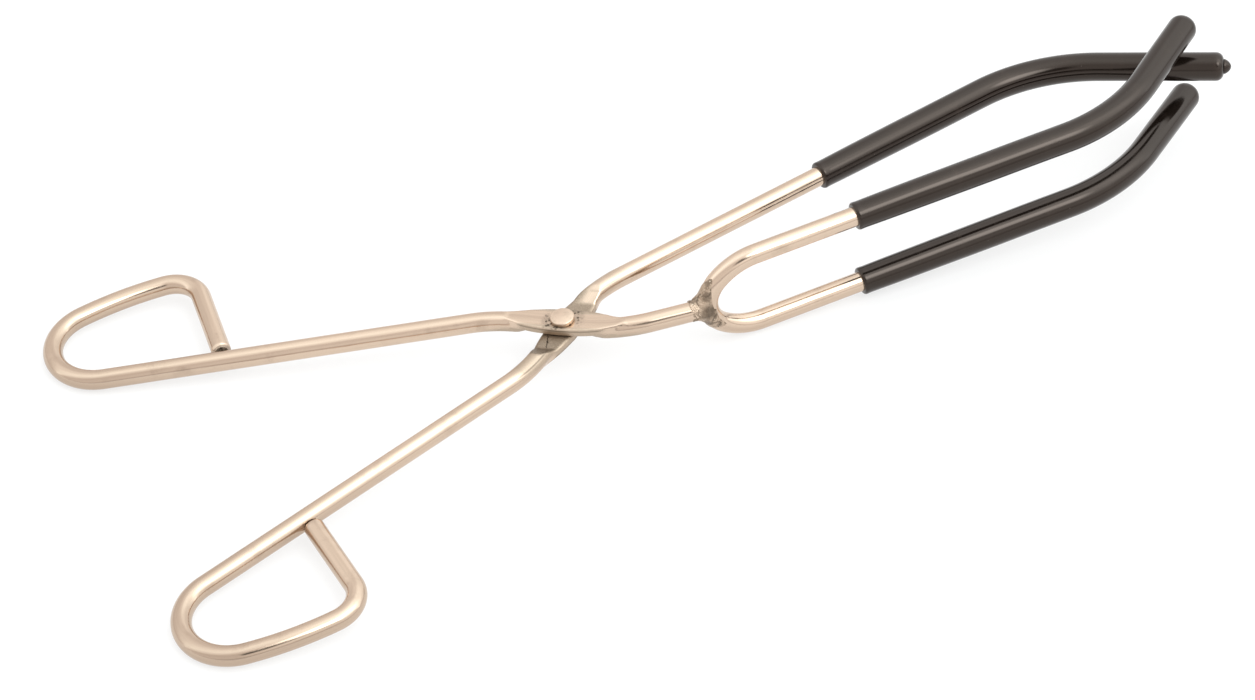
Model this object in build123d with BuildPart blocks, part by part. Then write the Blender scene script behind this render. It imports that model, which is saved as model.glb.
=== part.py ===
import os
from math import cos, radians, sin, sqrt

from build123d import *

os.makedirs("parts", exist_ok=True)

# Frame: +Z is the rivet axis, +X points to the jaws along the bisector of the two shanks,
# and the origin is on the rivet axis where the two pressed flats meet. Millimetres.

# Rod stock
rod_diameter = 4.76
rod_radius = rod_diameter / 2

# Finger loop, bent outwards from the end of each shank
shank_angle = 17.3
loop_start = 110.0
nose_radius = 12.2
nose_turn = 154
side_radius = 83
side_turn = 14.5
shoulder_radius = 7.8
shoulder_turn = 89.3
loop_end_gap = 0.1
cut_end_radius = 0.7
cut_end_dish = 0.35
cut_end_dish_radius = 1.4
cut_end_dish_taper = 60

# Offset bend through the pivot, the same in both arms
flat_angle = 37.3
rear_corner_distance = 17.1
rear_bend_radius = 32
front_corner_distance = 12.66
front_bend_radius = 20
front_angle = 9.2

# Pressed flats and the channel in each that lets the other arm turn
flat_thickness = 2.15
flat_clearance = 0.03
flat_edge_radius = 0.6
upper_channel_width = 14.4
lower_channel_width = 17.4
channel_length = 18
upper_ramp_angle = 62
lower_ramp_angle = 48
press_length = 26
press_width = 14
press_ramp_angle = 80
press_depth = 0.4

# Outline of the flat, along and across its own heading
leaf_outer = [(-14.5, 0.65), (-7, 2.9), (1.5, 3.75), (8, 3.5), (14.5, 2.0)]
leaf_inner = [(-14.5, -0.95), (-7, -3.2), (0, -3.6), (7, -2.9), (14.5, 0.4)]

# Rivet
rivet_diameter = 3.2
rivet_hole_clearance = 0.05
rivet_head_diameter = 5.7
rivet_head_height = 0.8
rivet_head_edge = 0.3

# Single jaw
jaw_bend_x = 122.8
jaw_bend_radius = 44
jaw_bend_turn = 40
jaw_tip_length = 30.6

# Yoke: one rod bent to a U on edge, its prongs one above the other
yoke_x = 32.6
yoke_y = -10.5
bight_radius = 8.7
bight_turn = 50
flare_radius = 15.5
prong_bend_x = 127.5
prong_bend_radius = 43
prong_bend_turn = 36
prong_tip_length = 25.6
prong_splay = 2.6
shank_end_setback = 1.0

# Weld bead
collar_length = 6.4
collar_radius = 2.7
collar_taper = 4
collar_overlap = 1.0
pad_radius = 3.0
pad_offset = 0.45
pad_turn = 34
weld_web_radius = 1.2

# Vinyl sleeves, measured to the closed end
sleeve_radius = 3.5
sleeve_start_x = 71.3
single_sleeve_x = 74.8
sleeve_end_wall = 2.4
sleeve_rim_radius = 0.4
sleeve_dome_radius = 2.9
nubbed_dome_radius = 1.9
nub_radius = 1.95
nub_length = 1.9
nub_taper = 32
nub_tip_radius = 0.6


def heading(angle):
    """Unit vector in the plane of the arms."""
    return Vector(cos(radians(angle)), sin(radians(angle)))


def arm_frame(side):
    """Frame of an arm: side 1 is the upper arm, -1 the same blank turned over about X."""
    return Plane(origin=(0, 0, 0), x_dir=(1, 0, 0), z_dir=(0, 0, side))


flat_top = flat_clearance + flat_thickness
rear_corner = heading(180 - flat_angle) * rear_corner_distance
front_corner = heading(-flat_angle) * front_corner_distance
shank_out = heading(180 - shank_angle)
shank_end = rear_corner + shank_out * (loop_start - rear_corner_distance)
front_run = heading(-front_angle)
prong_height = bight_radius * sin(radians(bight_turn)) + flare_radius * (1 - sin(radians(bight_turn)))
prong_x = yoke_x + bight_radius + (flare_radius - bight_radius) * cos(radians(bight_turn))


def spot(vector):
    """Point or direction as a pair, which is read in the frame of the line being drawn."""
    return (vector.X, vector.Y)


def rise(radius, start, end):
    """How far an arc climbs from the shank between two turns, in degrees."""
    return radius * (cos(radians(start)) - cos(radians(end)))


def leg_length():
    """Length of the loop's last leg, cut square just short of its own shank."""
    bow_end = nose_turn + side_turn
    loop_turn = bow_end + shoulder_turn
    height = rise(nose_radius, 0, nose_turn) + rise(side_radius, nose_turn, bow_end)
    height += rise(shoulder_radius, bow_end, loop_turn)
    fall = -sin(radians(loop_turn))
    lean = sqrt(1 - fall * fall)
    return (height - rod_radius * (1 + lean) - loop_end_gap) / fall


def handle_line():
    """Finger loop, from the end of the shank round to the cut end."""
    nose = JernArc(start=spot(shank_end), tangent=spot(shank_out), radius=nose_radius, arc_size=-nose_turn)
    bow = JernArc(start=nose @ 1, tangent=nose % 1, radius=side_radius, arc_size=-side_turn)
    shoulder = JernArc(start=bow @ 1, tangent=bow % 1, radius=shoulder_radius, arc_size=-shoulder_turn)
    Line(shoulder @ 1, shoulder @ 1 + (shoulder % 1) * leg_length())


def arm_line(frame, front_end):
    """Centreline of an arm, from its front end through the offset bend and round the loop."""
    with BuildLine(frame) as line:
        corners = [spot(corner) for corner in (front_end, front_corner, rear_corner, shank_end)]
        FilletPolyline(*corners, radius=[front_bend_radius, rear_bend_radius])
        handle_line()
    return line.wire()


def rod_along(path):
    """Round rod swept along a path, added to the part being built."""
    with BuildSketch(Plane(origin=path @ 0, z_dir=path % 0)) as section:
        Circle(rod_radius)
    sweep(section.sketch, path=path)


def sleeve_skin(path, dome_radius):
    """Outside of a sleeve along a path, with a rolled rim and a rounded closed end."""
    with BuildSketch(Plane(origin=path @ 0, z_dir=path % 0)) as section:
        Circle(sleeve_radius)
    skin = sweep(section.sketch, path=path)
    rim, *_, end = skin.edges().filter_by(GeomType.CIRCLE).sort_by_distance(path @ 0)
    fillet(rim, sleeve_rim_radius)
    fillet(end, dome_radius)


def leaf_point(along, across):
    """Point of the flat's outline, along and across its own heading."""
    return spot(heading(-flat_angle) * along + heading(90 - flat_angle) * across)


def pressed_leaf(frame):
    """Leaf-shaped flat with bulged edges, which follows the offset bend."""
    with BuildSketch(frame.offset(flat_clearance)) as leaf:
        with BuildLine():
            outer = Spline(*[leaf_point(*p) for p in leaf_outer])
            inner = Spline(*[leaf_point(*p) for p in leaf_inner])
            Line(outer @ 0, inner @ 0)
            Line(outer @ 1, inner @ 1)
        make_face()
    plate = extrude(leaf.sketch, amount=flat_thickness)
    long_edges = plate.edges().filter_by(lambda edge: edge.geom_type == GeomType.BSPLINE)
    fillet(long_edges, flat_edge_radius)


def press_cuts(frame, channel_width, ramp_angle, hole_radius):
    """What the press leaves: the channel under the flat, its level top and the rivet hole."""
    with BuildSketch(frame.offset(flat_clearance)) as channel:
        Rectangle(channel_length, channel_width, rotation=flat_angle)
    depth = rod_radius + 2 * flat_clearance
    extrude(channel.sketch, amount=-depth, taper=-ramp_angle, mode=Mode.SUBTRACT)
    with BuildSketch(frame.offset(flat_clearance + flat_thickness)) as press:
        Rectangle(press_length, press_width, rotation=-flat_angle)
    extrude(press.sketch, amount=press_depth, taper=-press_ramp_angle, mode=Mode.SUBTRACT)
    with BuildSketch(frame) as hole:
        Circle(hole_radius)
    extrude(hole.sketch, amount=rod_diameter, both=True, mode=Mode.SUBTRACT)


def dress_cut_end(path):
    """Rounded edge and shallow dish of the rod's cut end, where a path ends."""
    ring = edges().filter_by(GeomType.CIRCLE).sort_by_distance(path @ 1)[0]
    fillet(ring, cut_end_radius)
    with BuildSketch(Plane(origin=path @ 1, z_dir=path % 1)) as mouth:
        Circle(cut_end_dish_radius)
    extrude(mouth.sketch, amount=-cut_end_dish, taper=cut_end_dish_taper, mode=Mode.SUBTRACT)


def front_point(x):
    """Point of an arm's straight front run."""
    return front_corner + front_run * ((x - front_corner.X) / front_run.X)


def jaw_line(frame, start_x, tip_length):
    """Centreline of the single jaw, from a point on its straight run to its end."""
    with BuildLine(frame) as line:
        run = Line(spot(front_point(start_x)), spot(front_point(jaw_bend_x)))
        bend = JernArc(start=run @ 1, tangent=run % 1, radius=jaw_bend_radius, arc_size=jaw_bend_turn)
        Line(bend @ 1, bend @ 1 + (bend % 1) * tip_length)
    return line.wire()


def prong_line(level, start_x, tip_length):
    """Centreline of one prong of the yoke, at its level, from a point on its straight run."""
    splay = radians(prong_splay if level > 0 else -prong_splay)
    bend_plane = Plane(origin=(0, yoke_y, level), x_dir=(1, 0, 0), z_dir=(0, -sin(splay), cos(splay)))
    with BuildLine(bend_plane) as line:
        run = Line((start_x, 0), (prong_bend_x, 0))
        bend = JernArc(start=run @ 1, tangent=run % 1, radius=prong_bend_radius, arc_size=prong_bend_turn)
        Line(bend @ 1, bend @ 1 + (bend % 1) * tip_length)
    return line.wire()


def bight_line():
    """The round of the U, from prong to prong."""
    with BuildLine(Plane(origin=(yoke_x, yoke_y, 0), x_dir=(1, 0, 0), z_dir=(0, -1, 0))) as line:
        for way in (1, -1):
            bight = JernArc(start=(0, 0), tangent=(0, way), radius=bight_radius, arc_size=-way * bight_turn)
            flare_turn = way * (bight_turn - 90)
            JernArc(start=bight @ 1, tangent=bight % 1, radius=flare_radius, arc_size=flare_turn)
    return line.wire()


upper = arm_frame(1)
lower = arm_frame(-1)
yoke_tip = prong_tip_length - sleeve_end_wall
jaw_tip = jaw_tip_length - sleeve_end_wall

# Yoke
upper_prong = prong_line(prong_height, prong_x, yoke_tip)
lower_prong = prong_line(-prong_height, prong_x, yoke_tip)
yoke_path = Wire(upper_prong.edges() + bight_line().edges() + lower_prong.edges())
with BuildPart() as fork_yoke:
    rod_along(yoke_path)
    tips = fork_yoke.edges().filter_by(GeomType.CIRCLE).sort_by(Axis.X)[-2:]
    fillet(tips, cut_end_radius)
fork_yoke.part.label = "fork_yoke"
export_step(fork_yoke.part, "parts/fork_yoke.step")

# Rivet, its two heads over the flats
with BuildPart() as pivot_rivet:
    Cylinder(rivet_diameter / 2, 2 * flat_top)
    for side in (1, -1):
        with BuildSketch(arm_frame(side).offset(flat_top)):
            Circle(rivet_head_diameter / 2)
        extrude(amount=rivet_head_height)
    rims = pivot_rivet.edges().filter_by(GeomType.CIRCLE).sort_by(Axis.Z)
    fillet([rims[0], rims[-1]], rivet_head_edge)
pivot_rivet.part.label = "pivot_rivet"
export_step(pivot_rivet.part, "parts/pivot_rivet.step")

# Upper arm: loop, shank and flat, its front end coped round the yoke
fork_arm_path = arm_line(upper, front_point(yoke_x - shank_end_setback))
with BuildPart() as fork_arm:
    pressed_leaf(upper)
    rod_along(fork_arm_path)
    press_cuts(upper, upper_channel_width, upper_ramp_angle, rivet_diameter / 2)
    dress_cut_end(fork_arm_path)
    add(fork_yoke.part, mode=Mode.SUBTRACT)
fork_arm.part.label = "fork_arm"
export_step(fork_arm.part, "parts/fork_arm.step")

# Lower arm: the same blank turned over, its front run bent to the single jaw
blank_path = arm_line(lower, front_point(single_sleeve_x))
jaw_path = jaw_line(lower, single_sleeve_x, jaw_tip)
with BuildPart() as single_jaw_arm:
    pressed_leaf(lower)
    rod_along(Wire(blank_path.edges() + jaw_path.edges()))
    hinge_hole = rivet_diameter / 2 + rivet_hole_clearance
    press_cuts(lower, lower_channel_width, lower_ramp_angle, hinge_hole)
    dress_cut_end(blank_path)
    jaw_end = edges().filter_by(GeomType.CIRCLE).sort_by_distance(jaw_path @ 1)[0]
    fillet(jaw_end, cut_end_radius)
single_jaw_arm.part.label = "single_jaw_arm"
export_step(single_jaw_arm.part, "parts/single_jaw_arm.step")

# Weld bead: a collar round the end of the shank and a pad up and down the back of the yoke
bight_centre = Plane(origin=(yoke_x + bight_radius, yoke_y, 0), x_dir=(1, 0, 0), z_dir=(0, -1, 0))
with BuildLine(bight_centre) as pad_line:
    CenterArc((0, 0), bight_radius + pad_offset, 180 - pad_turn, 2 * pad_turn)
pad_path = pad_line.wire()
with BuildPart() as yoke_weld:
    with BuildSketch(Plane(origin=front_point(yoke_x + collar_overlap), x_dir=(0, 0, 1), z_dir=-front_run)):
        Circle(collar_radius)
    extrude(amount=collar_length, taper=collar_taper)
    with BuildSketch(Plane(origin=pad_path @ 0, z_dir=pad_path % 0)):
        Circle(pad_radius)
    sweep(path=pad_path)
    with Locations(pad_path @ 0, pad_path @ 1):
        Sphere(pad_radius)
    corner = edges().filter_by(lambda edge: edge.geom_type not in (GeomType.CIRCLE, GeomType.LINE))
    fillet(corner, weld_web_radius)
    add(fork_arm.part, mode=Mode.SUBTRACT)
    add(fork_yoke.part, mode=Mode.SUBTRACT)
yoke_weld.part.label = "yoke_weld"
export_step(yoke_weld.part, "parts/yoke_weld.step")

# Vinyl sleeves over the jaws, closed and rounded at the tips
for name, level in (("fork_upper_sleeve", prong_height), ("fork_lower_sleeve", -prong_height)):
    prong = prong_line(level, sleeve_start_x, prong_tip_length)
    with BuildPart() as fork_sleeve:
        sleeve_skin(prong, sleeve_dome_radius)
        add(fork_yoke.part, mode=Mode.SUBTRACT)
    fork_sleeve.part.label = name
    export_step(fork_sleeve.part, f"parts/{name}.step")

# The single jaw's sleeve ends in a drip of vinyl
single_path = jaw_line(lower, single_sleeve_x, jaw_tip_length)
with BuildPart() as single_jaw_sleeve:
    sleeve_skin(single_path, nubbed_dome_radius)
    with BuildSketch(Plane(origin=single_path @ 1, z_dir=single_path % 1)):
        Circle(nub_radius)
    drip = extrude(amount=nub_length, taper=nub_taper)
    fillet(drip.faces().sort_by_distance(single_path @ 0)[-1].edges(), nub_tip_radius)
    add(single_jaw_arm.part, mode=Mode.SUBTRACT)
single_jaw_sleeve.part.label = "single_jaw_sleeve"
export_step(single_jaw_sleeve.part, "parts/single_jaw_sleeve.step")
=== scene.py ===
from math import cos, pi, radians, sin, tan

import bpy
import numpy as np
from mathutils import Matrix, Vector, noise


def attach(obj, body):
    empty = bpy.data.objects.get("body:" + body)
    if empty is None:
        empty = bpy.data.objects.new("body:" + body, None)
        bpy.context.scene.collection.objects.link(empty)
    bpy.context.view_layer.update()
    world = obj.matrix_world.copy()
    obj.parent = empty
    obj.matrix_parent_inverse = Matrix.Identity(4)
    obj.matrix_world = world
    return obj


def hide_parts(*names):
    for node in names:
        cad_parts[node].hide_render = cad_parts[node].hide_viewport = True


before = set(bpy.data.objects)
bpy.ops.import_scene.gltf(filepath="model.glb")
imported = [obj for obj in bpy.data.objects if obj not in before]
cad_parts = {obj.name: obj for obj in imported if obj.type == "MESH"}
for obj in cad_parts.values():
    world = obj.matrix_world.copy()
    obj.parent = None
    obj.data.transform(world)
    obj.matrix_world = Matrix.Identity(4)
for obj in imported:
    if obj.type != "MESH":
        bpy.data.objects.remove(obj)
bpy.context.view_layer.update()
print("frame loaded:", len(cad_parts), "nodes")

# Sizes in the dictionaries are millimetres and degrees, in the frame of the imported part:
# +Z up the rivet, +X to the jaws, origin where the two flats meet. Meshes are made in metres.
metre = 0.001
forkSide = "fork_side"
jawSide = "single_side"

rod = {"radius": 2.38, "ripple": 0.012, "rippleLength": 9, "around": 64}
wander = {"round": 1.3, "apart": 17.3}  # size of the walk through the noise, distance between two seeds


# Centrelines: a rod is walked run by run and bend by bend, as it is bent on a bender

def walk(heading, moves, step, start=(0, 0)):
    # ("run", length), ("reach", x) or ("bend", radius, turn to the left)
    points = [np.array(start, float)]
    headings = [heading]
    for kind, *size in moves:
        x, y = points[-1]
        facing = radians(headings[-1])
        if kind == "bend":
            radius, turn = size
            side = 1 if turn > 0 else -1
            count = max(2, round(abs(radians(turn)) * radius / step))
            centre = np.array([x - side * radius * sin(facing), y + side * radius * cos(facing)])
            for share in np.linspace(0, 1, count + 1)[1:]:
                now = facing + radians(turn) * share
                points.append(centre + side * radius * np.array([sin(now), -cos(now)]))
                headings.append(headings[-1] + turn / count)
        else:
            length = size[0] if kind == "run" else (size[0] - x) / cos(facing)
            count = max(1, round(length / step))
            for share in np.linspace(0, 1, count + 1)[1:]:
                points.append(np.array([x, y]) + length * share * np.array([cos(facing), sin(facing)]))
                headings.append(headings[-1])
    return np.array(points), np.array(headings)


def inSpace(points, headings):
    # centre points, unit tangents and the two ring directions of a path that lies level
    facing = np.radians(headings)
    zero = np.zeros(len(points))
    return {
        "centre": np.column_stack([points, zero]),
        "tangent": np.column_stack([np.cos(facing), np.sin(facing), zero]),
        "side": np.column_stack([-np.sin(facing), np.cos(facing), zero]),
        "up": np.column_stack([zero, zero, zero + 1]),
    }


def backwards(path):
    turned = {name: values[::-1].copy() for name, values in path.items()}
    turned["tangent"] *= -1
    turned["side"] *= -1
    return turned


def joined(first, second):
    # second starts where first ends, so its first point is dropped
    return {name: np.concatenate([first[name], second[name][1:]]) for name in first}


def lengthAlong(path):
    gaps = np.linalg.norm(np.diff(path["centre"], axis=0), axis=1)
    return np.concatenate([[0], np.cumsum(gaps)])


# Skins: rings of points round a centreline, closed by a cap at each end

def ringAngles(count):
    return np.linspace(0, 2 * pi, count, endpoint=False)


def ringPoints(path, radii, angles):
    # radii holds one distance from the centreline for each ring and angle
    side = path["side"][:, None, :] * np.cos(angles)[None, :, None]
    up = path["up"][:, None, :] * np.sin(angles)[None, :, None]
    return path["centre"][:, None, :] + (side + up) * radii[:, :, None]


def rippled(along, angles, seed, length, depth):
    # slow unevenness of a plated or dipped surface
    values = np.zeros((len(along), len(angles)))
    for row, distance in enumerate(along):
        for column, angle in enumerate(angles):
            spot = Vector((wander["round"] * cos(angle), wander["round"] * sin(angle),
                           distance / length + seed * wander["apart"]))
            values[row, column] = noise.noise(spot)
    return values * depth


def surfaceAt(distance, shape, widest, halvings):
    # how far out each direction leaves the metal; distance(reach) is below 0 inside it
    low = np.zeros(shape)
    high = np.full(shape, widest)
    for _ in range(halvings):
        half = (low + high) / 2
        inside = distance(half) < 0
        low = np.where(inside, half, low)
        high = np.where(inside, high, half)
    return high


def withEnd(path, radii, profile, steps):
    # rings added at the last point, each one moved on along the rod by its step
    count = len(profile)
    longer = {name: np.concatenate([values, np.repeat(values[-1:], count, axis=0)])
              for name, values in path.items()}
    longer["centre"][-count:] += np.outer(steps, path["tangent"][-1])
    added = np.repeat(profile[:, None], radii.shape[1], axis=1)
    return longer, np.concatenate([radii, added])


def closedSkin(name, rings, along, material, masks=None, turnOver=False):
    # rings is an array of rings by points by 3; each end is closed by a point at the ring's middle
    count, around = rings.shape[:2]
    points = rings.reshape(-1, 3)
    ends = np.array([rings[0].mean(axis=0), rings[-1].mean(axis=0)])
    points = np.concatenate([points, ends])
    if turnOver:
        points = points * np.array([1, -1, -1])
    faces = []
    for row in range(0, (count - 1) * around, around):
        for column in range(around):
            right = (column + 1) % around
            faces.append((row + column, row + right, row + around + right, row + around + column))
    first, last = count * around, count * around + 1
    for column in range(around):
        right = (column + 1) % around
        faces.append((first, right, column))
        faces.append((last, (count - 1) * around + column, (count - 1) * around + right))
    mesh = bpy.data.meshes.new(name)
    mesh.from_pydata((points * metre).tolist(), [], faces)
    mesh.validate()
    angles = ringAngles(around)
    rodSpace = np.column_stack([np.tile(rod["radius"] * np.cos(angles), count),
                                np.tile(rod["radius"] * np.sin(angles), count), np.repeat(along, around)])
    rodSpace = np.concatenate([rodSpace, [(0, 0, along[0]), (0, 0, along[-1])]])
    attribute = mesh.attributes.new("rodSpace", "FLOAT_VECTOR", "POINT")
    attribute.data.foreach_set("vector", rodSpace.astype(np.float32).ravel())
    for maskName, values in (masks or {}).items():
        full = np.concatenate([values.reshape(-1), [values[0].mean(), values[-1].mean()]])
        mesh.attributes.new(maskName, "FLOAT", "POINT").data.foreach_set("value", full.astype(np.float32))
    piece = bpy.data.objects.new(name, mesh)
    bpy.context.scene.collection.objects.link(piece)
    mesh.polygons.foreach_set("use_smooth", [True] * len(mesh.polygons))
    mesh.materials.append(material)
    mesh.update()
    return piece


def place(piece, body, slotName, *nodes):
    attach(piece, body)
    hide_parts(*nodes)
    print("made", piece.name, len(piece.data.polygons), "faces")


# Shader groups that more than one material uses

def newGroup(name, values, results):
    # every group takes coordinates and plain values, and gives plain values
    group = bpy.data.node_groups.new(name, "ShaderNodeTree")
    group.interface.new_socket("Coordinates", in_out="INPUT", socket_type="NodeSocketVector")
    for label, value in values.items():
        made = group.interface.new_socket(label, in_out="INPUT", socket_type="NodeSocketFloat")
        made.default_value = value
    for label in results:
        group.interface.new_socket(label, in_out="OUTPUT", socket_type="NodeSocketFloat")
    return group, group.nodes.new("NodeGroupInput"), group.nodes.new("NodeGroupOutput")


def addNode(tree, kind, **settings):
    node = tree.nodes.new(kind)
    for label, value in settings.items():
        setattr(node, label, value)
    return node


def feed(tree, socket, value):
    # a socket is linked, a plain value is set
    if isinstance(value, bpy.types.NodeSocket):
        tree.links.new(value, socket)
    else:
        socket.default_value = value


def addNoise(tree, coordinates, scale, detail, roughness=0.5):
    node = addNode(tree, "ShaderNodeTexNoise")
    tree.links.new(coordinates, node.inputs["Vector"])
    for label, value in (("Scale", scale), ("Detail", detail), ("Roughness", roughness)):
        feed(tree, node.inputs[label], value)
    return node.outputs["Fac"]


def projected(tree, spot, direction):
    # how far a place or a direction reaches along another one
    node = addNode(tree, "ShaderNodeVectorMath", operation="DOT_PRODUCT")
    tree.links.new(spot, node.inputs[0])
    node.inputs[1].default_value = direction
    return node.outputs["Value"]


def mapped(tree, source, low, high, toLow=0.0, toHigh=1.0, shape="LINEAR"):
    # a value brought from one range to another and held inside it
    node = addNode(tree, "ShaderNodeMapRange", interpolation_type=shape)
    feed(tree, node.inputs["From Min"], low)
    feed(tree, node.inputs["From Max"], high)
    node.inputs["To Min"].default_value = toLow
    node.inputs["To Max"].default_value = toHigh
    tree.links.new(source, node.inputs["Value"])
    return node.outputs["Result"]


def calc(tree, operation, first, second=0, clamp=False):
    node = addNode(tree, "ShaderNodeMath", operation=operation, use_clamp=clamp)
    feed(tree, node.inputs[0], first)
    feed(tree, node.inputs[1], second)
    return node.outputs["Value"]


def times(tree, first, second):
    return calc(tree, "MULTIPLY", first, second)


def tinted(tree, share, first, second):
    # mix of two colours, each a socket or a plain colour; its colour sockets share their names with others
    node = addNode(tree, "ShaderNodeMix", data_type="RGBA")
    firstColour, secondColour, mixedColour = node.inputs[6], node.inputs[7], node.outputs[2]
    tree.links.new(share, node.inputs["Factor"])
    for socket, value in ((firstColour, first), (secondColour, second)):
        feed(tree, socket, (*value, 1) if isinstance(value, tuple) else value)
    return mixedColour


def makeStreaks():
    # fine lines along the rod, from drawing and polishing, and broad bands of them
    values = {"Density": 6.0, "Band Density": 0.55, "Stretch": 0.04}
    group, given, made = newGroup("polishLines", values, ["Lines", "Bands"])
    squeeze = addNode(group, "ShaderNodeCombineXYZ")
    squeeze.inputs["X"].default_value = 1
    squeeze.inputs["Y"].default_value = 1
    group.links.new(given.outputs["Stretch"], squeeze.inputs["Z"])
    scaled = addNode(group, "ShaderNodeVectorMath", operation="MULTIPLY")
    group.links.new(given.outputs["Coordinates"], scaled.inputs[0])
    group.links.new(squeeze.outputs[0], scaled.inputs[1])
    for label, density, detail in (("Lines", "Density", 4), ("Bands", "Band Density", 2)):
        found = addNoise(group, scaled.outputs[0], given.outputs[density], detail)
        group.links.new(found, made.inputs[label])
    return group


def makeCloud():
    # soft patches, such as thin plating, breath marks or handling
    group, given, made = newGroup("softPatches", {"Scale": 0.2, "Low": 0.45, "High": 0.7}, ["Patch"])
    found = addNoise(group, given.outputs["Coordinates"], given.outputs["Scale"], 5, roughness=0.6)
    spread = mapped(group, found, given.outputs["Low"], given.outputs["High"], shape="SMOOTHSTEP")
    group.links.new(spread, made.inputs["Patch"])
    return group


def makePits():
    # scattered small pits or specks; on the weld they place spots of painted highlight
    group, given, made = newGroup("smallPits", {"Scale": 1.5, "Size": 0.12, "Share": 0.3}, ["Pit"])
    cells = addNode(group, "ShaderNodeTexVoronoi")
    group.links.new(given.outputs["Coordinates"], cells.inputs["Vector"])
    group.links.new(given.outputs["Scale"], cells.inputs["Scale"])
    near = mapped(group, cells.outputs["Distance"], given.outputs["Size"], 0, shape="SMOOTHSTEP")
    apart = addNode(group, "ShaderNodeSeparateColor")
    group.links.new(cells.outputs["Color"], apart.inputs[0])
    chosen = calc(group, "LESS_THAN", apart.outputs[0], given.outputs["Share"])
    group.links.new(times(group, near, chosen), made.inputs["Pit"])
    return group


def makeGrain():
    # close unevenness of pressed or cast metal
    group, given, made = newGroup("fineGrain", {"Scale": 3.0, "Detail": 6.0}, ["Grain"])
    found = addNoise(group, given.outputs["Coordinates"], given.outputs["Scale"], given.outputs["Detail"])
    group.links.new(found, made.inputs["Grain"])
    return group


streaks = makeStreaks()
cloud = makeCloud()
pits = makePits()
grains = makeGrain()
noiseSpan = (0.3, 0.7)  # most of a noise's values lie between these


def placeGroup(tree, group, coordinates, **values):
    node = addNode(tree, "ShaderNodeGroup", node_tree=group)
    tree.links.new(coordinates, node.inputs["Coordinates"])
    for label, value in values.items():
        node.inputs[label].default_value = value
    return node


def newMaterial(name):
    material = bpy.data.materials.new(name)
    material.use_nodes = True
    tree = material.node_tree
    return material, tree, tree.nodes["Principled BSDF"]


def fromMesh(tree, name, output="Vector"):
    return addNode(tree, "ShaderNodeAttribute", attribute_name=name).outputs[output]


def restPlace(tree):
    # place in the part's frame at rest, in millimetres
    found = addNode(tree, "ShaderNodeTexCoord")
    scaled = addNode(tree, "ShaderNodeVectorMath", operation="SCALE")
    scaled.inputs["Scale"].default_value = 1 / metre
    tree.links.new(found.outputs["Object"], scaled.inputs[0])
    return scaled.outputs[0]


def dress(tree, shader, colour, rough, height, look, metallic=1):
    # colour, roughness and height brought to the shader
    tree.links.new(colour, shader.inputs["Base Color"])
    tree.links.new(rough, shader.inputs["Roughness"])
    shader.inputs["Metallic"].default_value = metallic
    bump = addNode(tree, "ShaderNodeBump")
    bump.inputs["Strength"].default_value = look["bumpStrength"]
    bump.inputs["Distance"].default_value = look["bumpDepth"] * metre
    tree.links.new(height, bump.inputs["Height"])
    tree.links.new(bump.outputs["Normal"], shader.inputs["Normal"])


# Plated steel of the rods and their pressed flats

flat = {
    "low": 0.03, "high": 2.18, "edge": 0.55, "blend": 0.5, "cutBlend": 0.12, "rampShare": 0.8,
    "foldHeight": 1.62,
    "outer": [(-14.5, 0.65), (-7, 2.9), (1.5, 3.75), (8, 3.5), (14.5, 2.0)],
    "inner": [(-14.5, -0.95), (-7, -3.2), (0, -3.6), (7, -2.9), (14.5, 0.4)],
    "halfLength": 15, "channelLength": 18, "forkChannel": 14.4, "jawChannel": 16.0,
    "rampSlope": 62, "cornerBlend": 0.6, "pressLength": 26, "pressWidth": 14, "pressSlope": 80,
    # marks on the upper faces: specks of scale beside the rivet, a scored line across the jaw arm's flat
    "specks": [(-2.8, 2.15), (-3.75, 1.1), (-3.2, 0.4), (3.95, 0.62), (4.3, -0.2)],
    "scoreFrom": (-4.39, -0.97), "scoreTo": (-6.38, -4.91), "scoreHalf": 0.2,
}

plate = {
    "bright": (0.665, 0.52, 0.405), "dull": (0.50, 0.385, 0.295), "pressed": (0.45, 0.36, 0.275),
    "rawSteelAndShade": (0.20, 0.16, 0.12), "grimeAndShade": (0.055, 0.04, 0.028),
    "roughness": 0.13, "polished": -0.05, "brushed": 0.12, "pressedRoughness": 0.42, "grimeAndShadeRoughness": 0.2,
    "lineHeight": 0.22, "bandShare": 0.8, "dullShare": 0.6, "foldShade": 0.75, "grimeAndShadeGrain": 0.35,
    # the loops are dulled by handling, from one X to the other
    "handledFrom": -55, "handledTo": -105, "handled": 0.7,
    "bumpStrength": 0.35, "bumpDepth": 0.12,
}


def scoredLine(tree, spot, channel):
    # a ragged line from one named spot to the other, only on the channel's face
    start, end = Vector((*flat["scoreFrom"], 0)), Vector((*flat["scoreTo"], 0))
    length, half = (end - start).length, flat["scoreHalf"]
    along = (end - start).normalized()
    beside = Vector((-along.y, along.x, 0))
    ragged = mapped(tree, addNoise(tree, spot, 2.2, 2), *noiseSpan, -half, half)
    off = calc(tree, "SUBTRACT", projected(tree, spot, beside), start.dot(beside))
    line = mapped(tree, calc(tree, "ABSOLUTE", calc(tree, "ADD", off, ragged)), half, half * 0.4)
    run = calc(tree, "SUBTRACT", projected(tree, spot, along), start.dot(along))
    starts = mapped(tree, run, -half, half)
    ends = mapped(tree, run, length + half, length - 2 * half)
    inside = times(tree, starts, ends)
    return times(tree, times(tree, line, inside), mapped(tree, channel, 0.2, 0.5))


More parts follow.
